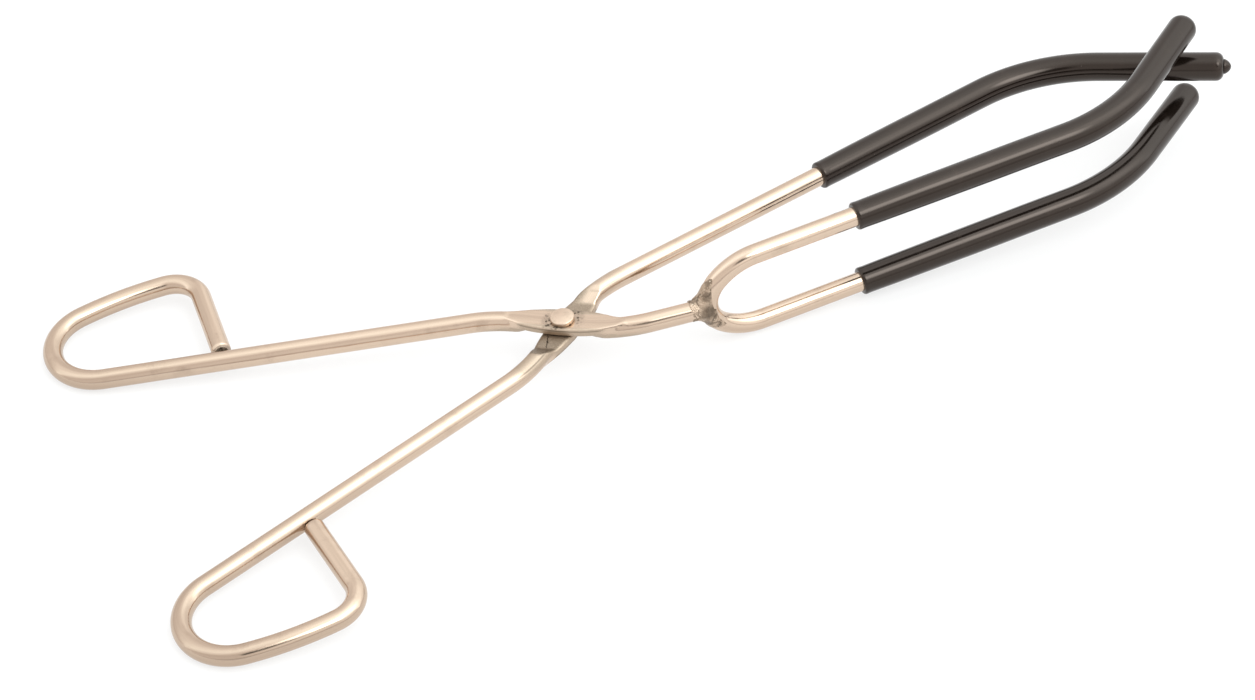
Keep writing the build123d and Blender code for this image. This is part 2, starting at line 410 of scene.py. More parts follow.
def platedSteel():
    material, tree, shader = newMaterial("platedSteel")
    rodSpace = fromMesh(tree, "rodSpace")
    pressed = fromMesh(tree, "pressed", "Fac")
    channel = fromMesh(tree, "channel", "Fac")
    grimeAndShadeMask = fromMesh(tree, "grimeAndShade", "Fac")
    spot = restPlace(tree)
    lines = placeGroup(tree, streaks, rodSpace, Density=3.2, Stretch=0.03)
    patches = placeGroup(tree, cloud, rodSpace, Scale=0.16, Low=0.5, High=0.75)
    pitted = placeGroup(tree, pits, spot, Scale=1.3, Size=0.75, Share=0.55)
    grain = placeGroup(tree, grains, spot, Scale=3.2, Detail=6).outputs["Grain"]
    apart = addNode(tree, "ShaderNodeSeparateXYZ")
    tree.links.new(spot, apart.inputs[0])

    # plating: bands of polishing, thin patches, loops dulled by handling
    handled = mapped(tree, apart.outputs["X"], plate["handledFrom"], plate["handledTo"], 0, plate["handled"])
    dulled = times(tree, mapped(tree, lines.outputs["Bands"], 0.42, 0.68), plate["bandShare"])
    dulled = calc(tree, "MAXIMUM", dulled, patches.outputs["Patch"])
    dulled = calc(tree, "ADD", times(tree, dulled, plate["dullShare"]), handled)
    colour = tinted(tree, calc(tree, "MINIMUM", dulled, 1), plate["bright"], plate["dull"])

    # the press: matt faces, a bare channel, and a fold line along the plate's edge outside the channel,
    # darkened with painted shade
    worn = times(tree, pressed, mapped(tree, grain, *noiseSpan, 0.6, 1.0))
    colour = tinted(tree, worn, colour, plate["pressed"])
    speckle = mapped(tree, grain, 0.3, 0.65, 0.45, 1.0)
    colour = tinted(tree, times(tree, channel, speckle), colour, plate["rawSteelAndShade"])
    # painted shade: a dark line along the plate's edge where its rounding begins
    fromFold = calc(tree, "SUBTRACT", calc(tree, "ABSOLUTE", apart.outputs["Z"]), flat["foldHeight"])
    fold = mapped(tree, calc(tree, "ABSOLUTE", fromFold), 0.2, 0.06)
    fold = times(tree, fold, pressed)
    fold = times(tree, fold, mapped(tree, channel, 0.0, 0.05, 1, 0))
    colour = tinted(tree, times(tree, fold, plate["foldShade"]), colour, plate["rawSteelAndShade"])

    # scale and dirt by the rivet, painted shade round the foot of the rivet head and in the cropped end's
    # hollow, and the scored line
    spotted = calc(tree, "ADD", times(tree, speckle, plate["grimeAndShadeGrain"]), pitted.outputs["Pit"])
    dark = calc(tree, "ADD", times(tree, grimeAndShadeMask, spotted), scoredLine(tree, spot, channel))
    dark = calc(tree, "MINIMUM", dark, 1)
    # the dark colour carries dirt, scale and the scored line, and painted shade round the rivet head and in
    # the cropped end's hollow
    colour = tinted(tree, dark, colour, plate["grimeAndShade"])

    rough = mapped(tree, lines.outputs["Lines"], 0.3, 0.75,
                   plate["roughness"] + plate["polished"], plate["roughness"] + plate["brushed"])
    stamped = calc(tree, "MAXIMUM", pressed, channel)
    rough = calc(tree, "ADD", rough,
                 times(tree, stamped, plate["pressedRoughness"] - plate["roughness"]))
    rough = calc(tree, "ADD", rough, times(tree, dark, plate["grimeAndShadeRoughness"]), clamp=True)
    height = times(tree, lines.outputs["Lines"], plate["lineHeight"])
    height = calc(tree, "ADD", height, times(tree, grain, calc(tree, "ADD", stamped, channel)))
    height = calc(tree, "SUBTRACT", height, calc(tree, "ADD", dark, fold))
    dress(tree, shader, colour, rough, height, plate)
    return material


# Vinyl of the sleeves

vinyl = {
    "black": (0.006, 0.004, 0.003), "bloom": (0.03, 0.021, 0.016), "dust": (0.25, 0.22, 0.2),
    "bloomShare": 0.35, "dustShare": 0.5, "bloomRoughness": 0.3,
    "roughness": 0.12, "smooth": -0.05, "matt": 0.1, "specular": 0.56, "tint": (1.0, 0.83, 0.73),
    "dustHeight": 0.3, "bumpStrength": 0.25, "bumpDepth": 0.1,
}


def blackVinyl():
    material, tree, shader = newMaterial("blackVinyl")
    rodSpace = fromMesh(tree, "rodSpace")
    lines = placeGroup(tree, streaks, rodSpace, Density=1.4, Stretch=0.05)
    patches = placeGroup(tree, cloud, rodSpace, Scale=0.22, Low=0.5, High=0.8)
    dust = placeGroup(tree, pits, restPlace(tree), Scale=0.55, Size=0.07, Share=0.25)
    bloomed = times(tree, patches.outputs["Patch"], vinyl["bloomShare"])
    colour = tinted(tree, bloomed, vinyl["black"], vinyl["bloom"])
    dusty = times(tree, dust.outputs["Pit"], vinyl["dustShare"])
    colour = tinted(tree, dusty, colour, vinyl["dust"])
    rough = mapped(tree, lines.outputs["Bands"], *noiseSpan,
                   vinyl["roughness"] + vinyl["smooth"], vinyl["roughness"] + vinyl["matt"])
    rough = calc(tree, "ADD", rough, times(tree, bloomed, vinyl["bloomRoughness"]), clamp=True)
    shader.inputs["Specular IOR Level"].default_value = vinyl["specular"]
    shader.inputs["Specular Tint"].default_value = (*vinyl["tint"], 1)
    raised = times(tree, dust.outputs["Pit"], vinyl["dustHeight"])
    height = calc(tree, "ADD", lines.outputs["Bands"], raised)
    dress(tree, shader, colour, rough, height, vinyl, metallic=0)
    return material


# Weld bead and rivet

bead = {
    # bright is the colour of the painted highlight spots
    "metal": (0.50, 0.385, 0.29), "scale": (0.15, 0.112, 0.08), "bright": (0.9, 0.77, 0.62),
    "patchShare": 0.7, "facetShare": 0.85, "roughness": (0.22, 0.5), "bumpStrength": 0.7, "bumpDepth": 0.35,
}
dressed = {
    "patchShare": 0.5, "roughness": (0.25, 0.45), "grainHeight": 0.5, "bumpStrength": 0.4, "bumpDepth": 0.1,
}


def weldMetal():
    material, tree, shader = newMaterial("weldMetal")
    spot = restPlace(tree)
    cracks = fromMesh(tree, "crack", "Fac")
    facet = fromMesh(tree, "facet", "Fac")
    patches = placeGroup(tree, cloud, spot, Scale=0.45, Low=0.45, High=0.6)
    specks = placeGroup(tree, pits, spot, Scale=1.2, Size=0.3, Share=0.3)
    grain = placeGroup(tree, grains, spot, Scale=2.5, Detail=7).outputs["Grain"]
    scaled = times(tree, patches.outputs["Patch"], bead["patchShare"])
    colour = tinted(tree, scaled, bead["metal"], bead["scale"])
    colour = tinted(tree, times(tree, facet, bead["facetShare"]), colour, bead["scale"])
    # painted highlight: small bright spots over the bead
    colour = tinted(tree, specks.outputs["Pit"], colour, bead["bright"])
    colour = tinted(tree, cracks, colour, bead["scale"])
    rough = mapped(tree, grain, *noiseSpan, *bead["roughness"])
    dress(tree, shader, colour, rough, calc(tree, "SUBTRACT", grain, cracks), bead)
    return material


def rivetMetal():
    material, tree, shader = newMaterial("rivetMetal")
    spot = restPlace(tree)
    patches = placeGroup(tree, cloud, spot, Scale=0.7, Low=0.45, High=0.7)
    pitted = placeGroup(tree, pits, spot, Scale=1.3, Size=0.14, Share=0.3)
    grain = placeGroup(tree, grains, spot, Scale=5, Detail=5).outputs["Grain"]
    thin = times(tree, patches.outputs["Patch"], dressed["patchShare"])
    colour = tinted(tree, thin, plate["bright"], plate["pressed"])
    colour = tinted(tree, pitted.outputs["Pit"], colour, plate["grimeAndShade"])
    rough = mapped(tree, grain, *noiseSpan, *dressed["roughness"])
    height = times(tree, grain, dressed["grainHeight"])
    height = calc(tree, "SUBTRACT", height, pitted.outputs["Pit"])
    dress(tree, shader, colour, rough, height, dressed)
    return material


steelLook = platedSteel()
vinylLook = blackVinyl()
weldLook = weldMetal()
rivetLook = rivetMetal()
print("materials made")


# Arms: one blank for both, walked from the pivot to each end

arm = {
    "flatAngle": 37.3, "rearCorner": 17.1, "rearRadius": 32, "rearTurn": 20,
    "frontCorner": 12.66, "frontRadius": 36, "frontTurn": 28.1,
    # radius and turn of the loop's nose, bow and shoulder
    "loopStart": 110.0, "loopBends": [(12.2, 154), (83, 14.5), (7.8, 89.3)], "loopGap": 0.1,
    "forkArmEnd": 31.6, "jawBendX": 122.8, "jawRadius": 44, "jawTurn": 40, "jawTip": 28.2,
    "step": 0.5, "endRound": 0.8, "endDish": 0.35, "dishRings": 8, "dishOuter": 0.7, "dishInner": 0.05,
    "dishFrom": 0.75, "dishRun": 0.45,
}
# The pivot's sections are searched from a middle that is lifted towards the flat.
search = {"reach": 24, "lift": 1.05, "liftEnd": 22, "liftRun": 8, "widest": 7.0, "halvings": 26}


def loopMoves():
    # the last leg stops just short of the shank it came from
    height = turned = 0
    moves = []
    for radius, turn in arm["loopBends"]:
        height += radius * (cos(radians(turned)) - cos(radians(turned + turn)))
        turned += turn
        moves.append(("bend", radius, -turn))
    fall = -sin(radians(turned))
    leg = (height - rod["radius"] * (1 + (1 - fall * fall) ** 0.5) - arm["loopGap"]) / fall
    return [*moves, ("run", leg)]


def armPath(frontMoves):
    rearTangent = arm["rearRadius"] * tan(radians(arm["rearTurn"] / 2))
    frontTangent = arm["frontRadius"] * tan(radians(arm["frontTurn"] / 2))
    rear = [("run", arm["rearCorner"] - rearTangent), ("bend", arm["rearRadius"], arm["rearTurn"]),
            ("run", arm["loopStart"] - arm["rearCorner"] - rearTangent), *loopMoves()]
    front = [("run", arm["frontCorner"] - frontTangent), ("bend", arm["frontRadius"], arm["frontTurn"]),
             *frontMoves]
    back = inSpace(*walk(180 - arm["flatAngle"], rear, arm["step"]))
    ahead = inSpace(*walk(-arm["flatAngle"], front, arm["step"]))
    return joined(backwards(ahead), back)


def smoothMax(first, second, blend):
    share = np.clip(0.5 + 0.5 * (first - second) / blend, 0, 1)
    return second * (1 - share) + first * share + blend * share * (1 - share)


def smoothMin(first, second, blend):
    return -smoothMax(-first, -second, blend)


def leafSide(points, along):
    # a smooth curve through the outline's points
    return np.polyval(np.polyfit(*zip(*points), 4), np.clip(along, points[0][0], points[-1][0]))


def channelFloor(x, y, channelWidth):
    # height of the channel's face under the flat: level in the middle, then a ramp down all round
    turn = radians(arm["flatAngle"])
    along = np.abs(x * cos(turn) + y * sin(turn)) - flat["channelLength"] / 2
    across = np.abs(-x * sin(turn) + y * cos(turn)) - channelWidth / 2
    outside = np.maximum(smoothMax(along, across, flat["cornerBlend"]), 0)
    return flat["low"] - outside / tan(radians(flat["rampSlope"]))


def armDistance(spots, centres, channelWidth):
    # below 0 inside the metal: a round rod joined to a pressed plate, cut by the press
    x, y, z = np.moveaxis(spots, -1, 0)
    turn = radians(-arm["flatAngle"])
    along = x * cos(turn) + y * sin(turn)
    across = -x * sin(turn) + y * cos(turn)
    rodPart = np.linalg.norm(spots - centres, axis=-1) - rod["radius"]
    wide = np.maximum(across - leafSide(flat["outer"], along), leafSide(flat["inner"], along) - across)
    wide = np.maximum(wide, np.abs(along) - flat["halfLength"])
    middle = (flat["low"] + flat["high"]) / 2
    thick = np.abs(z - middle) - (flat["high"] - flat["low"]) / 2
    edge = flat["edge"]
    platePart = np.hypot(np.maximum(wide + edge, 0), np.maximum(thick + edge, 0)) - edge
    platePart = np.where((wide + edge < 0) & (thick + edge < 0), np.maximum(wide, thick), platePart)
    body = smoothMin(rodPart, platePart, flat["blend"])
    floorCut = (channelFloor(x, y, channelWidth) - z) * flat["rampShare"]
    pastEnd = np.abs(along) - flat["pressLength"] / 2
    pastSide = np.abs(across) - flat["pressWidth"] / 2
    pressOut = smoothMax(pastEnd, pastSide, flat["cornerBlend"])
    top = flat["high"] + np.maximum(pressOut, 0) / tan(radians(flat["pressSlope"]))
    return smoothMax(smoothMax(body, floorCut, flat["cutBlend"]), z - top, flat["cutBlend"])


def armRadii(path, angles, channelWidth):
    # from the middle of each section, how far out the surface is along every ring direction
    away = np.linalg.norm(path["centre"], axis=1)
    near = away < search["reach"]
    lift = search["lift"] * np.clip((search["liftEnd"] - away) / search["liftRun"], 0, 1)
    moved = dict(path, centre=path["centre"] + path["up"] * lift[:, None])
    radii = np.full((len(away), len(angles)), rod["radius"])
    part = {name: values[near] for name, values in moved.items()}
    centres = path["centre"][near][:, None, :]
    radii[near] = surfaceAt(
        lambda reach: armDistance(ringPoints(part, reach, angles), centres, channelWidth),
        (near.sum(), len(angles)), search["widest"], search["halvings"])
    return moved, radii


def endRounding(along, radius):
    # share of the radius that is left near a cut end
    bevel = arm["endRound"]
    depth = np.clip(along, 0, bevel)
    return (radius - bevel + (bevel ** 2 - (bevel - depth) ** 2) ** 0.5) / radius


def rodSurface(path, radii, seed):
    # a rod's slight unevenness and its rounded ends
    along = lengthAlong(path)
    radii = radii + rippled(along, ringAngles(rod["around"]), seed, rod["rippleLength"], rod["ripple"])
    for distance in (along, along[-1] - along):
        radii *= endRounding(distance, rod["radius"])[:, None]
    return radii


def withDish(path, radii):
    # the cropped face of the loop's end is hollowed by the shears
    shares = np.linspace(arm["dishOuter"], arm["dishInner"], arm["dishRings"])
    depth = arm["endDish"] * np.clip((arm["dishFrom"] - shares) / arm["dishRun"], 0, 1)
    return withEnd(path, radii, shares * rod["radius"], -depth)


wearAndShade = {
    # a section wider than the rod is pressed metal, and so is the cut face near the pivot
    "wider": 1.02, "widerGain": 3, "cutBelow": 0.1, "cutReach": 13, "reach": 22,
    "rampEdge": 0.3, "rubbed": 0.7, "innerFrom": 0.2, "innerWidth": 1.4,
    # share of bare steel on the channel's face and its ramps
    "bareFront": 0.62, "bareInner": 0.75, "bareRear": 0.75, "faceDepth": 0.12, "lowest": -2.2,
    # painted shade in a close ring round the foot of the rivet head, and dirt in a wide one before and
    # behind it
    "ring": 2.9, "ringFade": 0.35, "wide": 3.6, "wideFade": 2.0, "speckReach": 1.1, "upperOnly": 2.0,
}


def armMasks(path, rings, radii, channelWidth):
    # where the steel is pressed, where it is bare channel, where dirt gathers and where shade is painted
    x, y, z = np.moveaxis(rings, -1, 0)
    away = np.hypot(x, y)
    face = channelFloor(x, y, channelWidth)
    ramp = np.clip((flat["low"] - face) / wearAndShade["rampEdge"], 0, 1)
    towards = (path["side"][:, None, :] * (rings - path["centre"][:, None, :])).sum(axis=-1)
    inner = np.clip((towards - wearAndShade["innerFrom"]) / wearAndShade["innerWidth"], 0, 1)
    front = x > 0

    pressed = np.clip((radii - rod["radius"] * wearAndShade["wider"]) * wearAndShade["widerGain"], 0, 1)
    pressed += (z < wearAndShade["cutBelow"]) * (away < wearAndShade["cutReach"])
    pressed = np.clip(pressed, 0, 1) * (away < wearAndShade["reach"])
    # the front ramp is rubbed bright but for its inner side, the rear ramp is darkest
    pressed *= 1 - wearAndShade["rubbed"] * ramp * front * (1 - inner)
    channel = np.clip(1.4 - np.abs(z - face) / wearAndShade["faceDepth"], 0, 1) * (z > wearAndShade["lowest"])
    frontShare = wearAndShade["bareFront"] - ramp * (wearAndShade["bareFront"] - wearAndShade["bareInner"] * inner)
    channel *= np.where(front, frontShare, wearAndShade["bareRear"] + (1 - wearAndShade["bareRear"]) * ramp)

    beside = (x / np.maximum(away, 0.1)) ** 2
    grimeAndShade = np.clip(1 - (away - wearAndShade["wide"]) / wearAndShade["wideFade"], 0, 1) * beside
    # painted shade: a dark ring on the flat's top round the foot of the rivet head
    grimeAndShade += np.clip(1 - (away - wearAndShade["ring"]) / wearAndShade["ringFade"], 0, 1)
    for spot in flat["specks"]:
        gap = np.hypot(x - spot[0], y - spot[1])
        grimeAndShade += np.clip(1.3 - gap / wearAndShade["speckReach"], 0, 1)
    grimeAndShade = np.clip(grimeAndShade, 0, 1) * (z > wearAndShade["upperOnly"])

    # the hollow of the cropped end is bare steel, darkened further with painted shade
    grimeAndShade[-arm["dishRings"]:] = 1
    channel[-arm["dishRings"]:] = 1
    return {"pressed": pressed, "channel": channel, "grimeAndShade": grimeAndShade}


def buildArm(name, frontMoves, channelWidth, seed, turnOver):
    angles = ringAngles(rod["around"])
    path, radii = armRadii(armPath(frontMoves), angles, channelWidth)
    path, radii = withDish(path, rodSurface(path, radii, seed))
    rings = ringPoints(path, radii, angles)
    masks = armMasks(path, rings, radii, channelWidth)
    return closedSkin(name, rings, lengthAlong(path), steelLook, masks, turnOver)


def jawMoves(tip):
    # the run and bend that the single jaw's rod and its sleeve share
    return [("reach", arm["jawBendX"]), ("bend", arm["jawRadius"], arm["jawTurn"]), ("run", tip)]


forkArm = buildArm("forkArmRod", [("reach", arm["forkArmEnd"])], flat["forkChannel"], 1, False)
place(forkArm, forkSide, "plated_steel", "fork_arm")
jawArm = buildArm("singleJawRod", jawMoves(arm["jawTip"]), flat["jawChannel"], 2, True)
place(jawArm, jawSide, "plated_steel", "single_jaw_arm")


# Yoke: one rod bent to a U on edge

yoke = {
    "backX": 32.6, "y": -10.5, "splay": 2.6, "bightRadius": 8.7, "bightTurn": 50, "flareRadius": 15.5,
    "bendX": 127.5, "bendRadius": 43, "bendTurn": 36, "upperTip": 22.0, "lowerTip": 23.4, "step": 0.6,
}
prongHeight = yoke["bightRadius"] * sin(radians(yoke["bightTurn"]))
prongHeight += yoke["flareRadius"] * (1 - sin(radians(yoke["bightTurn"])))
prongX = yoke["backX"] + yoke["bightRadius"]
prongX += (yoke["flareRadius"] - yoke["bightRadius"]) * cos(radians(yoke["bightTurn"]))


def prongPath(level, startX, tip, step):
    # the plane of the bend leans, so the tips stand a little further apart than the straight runs
    moves = [("reach", yoke["bendX"]), ("bend", yoke["bendRadius"], yoke["bendTurn"]), ("run", tip)]
    path = inSpace(*walk(0, moves, step, (startX, 0)))
    lean = radians(yoke["splay"] if level > 0 else -yoke["splay"])
    turn = np.array([[1, 0, 0], [0, cos(lean), sin(lean)], [0, -sin(lean), cos(lean)]])
    leaning = {name: values @ turn for name, values in path.items()}
    leaning["centre"] += (0, yoke["y"], level)
    return leaning


def bightPath(step):
    # walked in the upright plane of the U, from the upper prong down and round to the lower one
    moves = [("bend", yoke["flareRadius"], 90 - yoke["bightTurn"]),
             ("bend", yoke["bightRadius"], 2 * yoke["bightTurn"]),
             ("bend", yoke["flareRadius"], 90 - yoke["bightTurn"])]
    points, headings = walk(180, moves, step, (prongX, prongHeight))
    facing = np.radians(headings)
    zero = np.zeros(len(points))
    return {
        "centre": np.column_stack([points[:, 0], zero + yoke["y"], points[:, 1]]),
        "tangent": np.column_stack([np.cos(facing), zero, np.sin(facing)]),
        "side": np.column_stack([zero, zero - 1, zero]),
        "up": np.column_stack([np.sin(facing), zero, -np.cos(facing)]),
    }


def buildYoke():
    upper = backwards(prongPath(prongHeight, prongX, yoke["upperTip"], yoke["step"]))
    lower = prongPath(-prongHeight, prongX, yoke["lowerTip"], yoke["step"])
    lower["side"] *= -1
    lower["up"] *= -1
    path = joined(joined(upper, bightPath(yoke["step"])), lower)
    radii = rodSurface(path, rod["radius"], 3)
    rings = ringPoints(path, radii, ringAngles(rod["around"]))
    none = np.zeros(radii.shape)
    masks = {"pressed": none, "channel": none, "grimeAndShade": none}
    return closedSkin("yokeRod", rings, lengthAlong(path), steelLook, masks)


place(buildYoke(), forkSide, "plated_steel", "fork_yoke")


# Sleeves: dipped vinyl with a rolled rim at the rear and a rounded closed end

sleeve = {
    "radius": 3.3, "swell": 0.26, "swellLength": 15, "rim": 0.06, "rimPlace": 0.7, "rimSpread": 0.7,
    "rimRound": 0.45, "ripple": 0.04, "rippleLength": 18, "calmLength": 4, "calmest": 0.15,
    "forkStart": 71.3, "upperTip": 24.5, "lowerTip": 26.0, "forkDome": 2.9,
    "singleStart": 74.8, "singleTip": 30.6, "singleDome": 1.9,
    "nubRadius": 1.9, "nubLength": 1.8, "nubRings": 12, "nubCurve": (1.5, 0.55),
    "thinnest": 0.05, "step": 0.6, "around": 48,
}


def sleeveRadii(along, dome):
    # radius along the sleeve: rolled rim, plain tube, then the rounded end
    swelling = sleeve["swell"] * (1 - np.exp(-along / sleeve["swellLength"]))
    rim = sleeve["rim"] * np.exp(-((along - sleeve["rimPlace"]) / sleeve["rimSpread"]) ** 2)
    lip = sleeve["rimRound"]
    start = np.clip(along, 0, lip)
    radius = sleeve["radius"] + swelling + rim - lip + (lip ** 2 - (lip - start) ** 2) ** 0.5
    left = np.clip(along[-1] - along, 0, dome)
    return radius - dome + (dome ** 2 - (dome - left) ** 2) ** 0.5


def finerEnds(path, count=10, reach=3):
    # rings are set closer together at both ends, where the rim and the dome are
    along = lengthAlong(path)
    spread = reach * (1 - np.cos(np.linspace(0, pi / 2, count)))
    inner = along[(along > reach) & (along < along[-1] - reach)]
    wanted = np.concatenate([spread, inner, (along[-1] - spread)[::-1]])
    return {name: np.column_stack([np.interp(wanted, along, values[:, axis]) for axis in range(3)])
            for name, values in path.items()}


def withNub(path, radii):
    # the drip of vinyl left at the tip when the jaw was lifted out of the dip
    shares = np.sin(np.linspace(0, pi / 2, sleeve["nubRings"]))
    inner, outer = sleeve["nubCurve"]
    profile = sleeve["nubRadius"] * np.clip(1 - shares ** inner, 0, 1) ** outer
    return withEnd(path, radii, profile, shares * sleeve["nubLength"])


def buildSleeve(name, path, dome, seed, nub=False, turnOver=False):
    path = finerEnds(path)
    angles = ringAngles(sleeve["around"])
    along = lengthAlong(path)
    radii = np.repeat(sleeveRadii(along, dome)[:, None], len(angles), axis=1)
    calm = np.clip(np.minimum(along, along[-1] - along) / sleeve["calmLength"], sleeve["calmest"], 1)
    ripples = rippled(along, angles, seed, sleeve["rippleLength"], sleeve["ripple"])
    radii = radii + calm[:, None] * ripples
    if nub:
        path, radii = withNub(path, radii)
    rings = ringPoints(path, np.maximum(radii, sleeve["thinnest"]), angles)
    return closedSkin(name, rings, lengthAlong(path), vinylLook, None, turnOver)


def singlePath(startX, tip, step):
    # the single jaw's rod from inside the sleeve, walked from where its front corner would be sharp
    heading = arm["frontTurn"] - arm["flatAngle"]
    turn = radians(arm["flatAngle"])
    cornerX, cornerY = arm["frontCorner"] * cos(turn), -arm["frontCorner"] * sin(turn)
    start = (startX, cornerY + (startX - cornerX) * tan(radians(heading)))
    return inSpace(*walk(heading, jawMoves(tip), step, start))


for name, node, level, tip, seed in (
        ("upperSleeve", "fork_upper_sleeve", prongHeight, sleeve["upperTip"], 4),
        ("lowerSleeve", "fork_lower_sleeve", -prongHeight, sleeve["lowerTip"], 5)):
    prong = prongPath(level, sleeve["forkStart"], tip, sleeve["step"])
    place(buildSleeve(name, prong, sleeve["forkDome"], seed), forkSide, "black_vinyl", node)
jaw = singlePath(sleeve["singleStart"], sleeve["singleTip"], sleeve["step"])
singleSleeve = buildSleeve("singleSleeve", jaw, sleeve["singleDome"], 6, nub=True, turnOver=True)
place(singleSleeve, jawSide, "black_vinyl", "single_jaw_sleeve")


# Weld: metal run into the corner between the end of the shank and the back of the U

weld = {
    "centre": (31.0, -10.9, 0.3), "heading": -9.2, "web": 2.3, "proud": 0.24, "back": 3.2, "over": 0.7,
    "narrowing": 0.34, "overBelow": 1.1, "spread": 4.2, "up": 8.8, "down": 6.2, "point": 1.15,
    "edgeBlend": 0.5, "edgeSlope": 3, "facet": (31.6, -13.2, 0.2), "facetReach": 2.1,
    "facetEdge": (1.6, 1.2), "facetCalm": 0.8,
    "rows": 140, "columns": 180, "widest": 10.0, "halvings": 24,
    "lumps": 0.26, "lumpSize": 2.2, "lumpDetail": (1.0, 2.1, 4), "drawnFrom": 2.5, "drawn": 2.5,
    "crackDepth": 0.3, "crackSize": 2.8, "crackWidth": 0.05, "crackPlace": (5, 2, 9),
}


def weldDistance(spots):
    # a web between shank and yoke, held to an egg shape round the joint
    x, y, z = np.moveaxis(spots, -1, 0)
    facing = radians(weld["heading"])
    centre = weld["centre"]
    ahead = (x - centre[0]) * cos(facing) + (y - centre[1]) * sin(facing)
    beside = -(x - centre[0]) * sin(facing) + (y - centre[1]) * cos(facing)
    shank = np.maximum(np.hypot(beside, z) - rod["radius"], ahead)
    ring = np.hypot(x - yoke["backX"] - yoke["bightRadius"], z) - yoke["bightRadius"]
    back = np.hypot(ring, y - yoke["y"]) - rod["radius"]
    both = smoothMin(shank, back, weld["web"]) - weld["proud"]
    # kept to the back of the U, the end of the shank and a tapering tongue up and down the rod
    onBack = -ring + np.where(z > 0, weld["narrowing"] * z - weld["over"], -weld["overBelow"])
    reach = np.where(z > 0, weld["up"], weld["down"])
    power = np.where(z > 0, weld["point"], 2)
    tongue = (np.abs(z) / reach) ** power + (np.abs(beside) / weld["spread"]) ** power
    tongue = (tongue ** (1 / power) - 1) * weld["edgeSlope"]
    blend = weld["edgeBlend"]
    return smoothMax(smoothMax(both, onBack, blend), smoothMax(-ahead - weld["back"], tongue, blend), blend)


def buildWeld():
    rows, columns = weld["rows"], weld["columns"]
    polar = np.linspace(0, pi, rows + 2)[1:-1, None]
    turns = ringAngles(columns)[None, :]
    ways = np.stack([np.sin(polar) * np.cos(turns), np.sin(polar) * np.sin(turns),
                     np.cos(polar) + 0 * turns], axis=-1)
    centre = np.array(weld["centre"])
    reach = surfaceAt(lambda reach: weldDistance(centre + ways * reach[..., None]),
                      (rows, columns), weld["widest"], weld["halvings"])
    spots = centre + ways * reach[..., None]

    lumps = np.zeros((rows, columns))
    cracks = np.zeros((rows, columns))
    for row in range(rows):
        for column in range(columns):
            spot = Vector(spots[row, column])
            seam = abs(noise.noise(spot / weld["crackSize"] + Vector(weld["crackPlace"])))
            cracks[row, column] = max(0, 1 - seam / weld["crackWidth"])
            if spot.z > weld["drawnFrom"]:
                spot.z /= weld["drawn"]  # lumps are drawn out where the bead runs up the rod
            lumps[row, column] = noise.fractal(spot / weld["lumpSize"], *weld["lumpDetail"])
    # a smooth dark facet where the bead was knocked down
    fromFacet = np.linalg.norm(spots - weld["facet"], axis=-1) / weld["facetReach"]
    edge, fall = weld["facetEdge"]
    facet = np.clip(edge - fall * fromFacet, 0, 1)
    lumps *= 1 - weld["facetCalm"] * facet
    cracks *= 1 - facet
    spots = spots + ways * (lumps * weld["lumps"] - cracks * weld["crackDepth"])[..., None]
    masks = {"crack": cracks, "facet": facet}
    return closedSkin("weldBead", spots, np.zeros(rows), weldLook, masks)


place(buildWeld(), forkSide, "weld_bead", "yoke_weld")


# Rivet: turned profile with a slightly domed, dressed head on each side

rivet = {
    "shank": 1.58, "head": 2.85, "base": 2.18, "top": 3.3, "foot": 0.12, "edge": 0.3, "crown": 0.3,
    "around": 96, "unevenSize": 3, "uneven": 0.008,
}


def buildRivet():
    head, edge, top, foot = rivet["head"], rivet["edge"], rivet["top"], rivet["foot"]
    profile = [(rivet["shank"], 0.0), (rivet["shank"], rivet["base"]), (head - foot, rivet["base"]),
               (head, rivet["base"] + foot)]
    for turn in np.radians(np.linspace(0, 90, 8)):
        profile.append((head - edge + edge * cos(turn), top - edge + edge * sin(turn)))
    for share in np.linspace(0.9, 0.05, 8):
        profile.append(((head - edge) * share, top + rivet["crown"] * (1 - share ** 2)))
    half = np.array(profile)
    whole = np.concatenate([half[::-1] * (1, -1), half[1:]])
    angles = ringAngles(rivet["around"])
    rings = np.stack([whole[:, :1] * np.cos(angles), whole[:, :1] * np.sin(angles),
                      whole[:, 1:] + 0 * angles], axis=-1)
    size = rivet["unevenSize"]
    dents = np.array([[noise.noise(Vector((size * cos(angle), size * sin(angle), height)))
                       for angle in angles] for height in whole[:, 1]])
    rings[..., :2] *= (1 + rivet["uneven"] * dents)[..., None]
    return closedSkin("rivetPin", rings, whole[:, 1], rivetLook)


place(buildRivet(), forkSide, "rivet_steel", "pivot_rivet")


# Studio: pale floor under the tongs as they rest, soft light all round

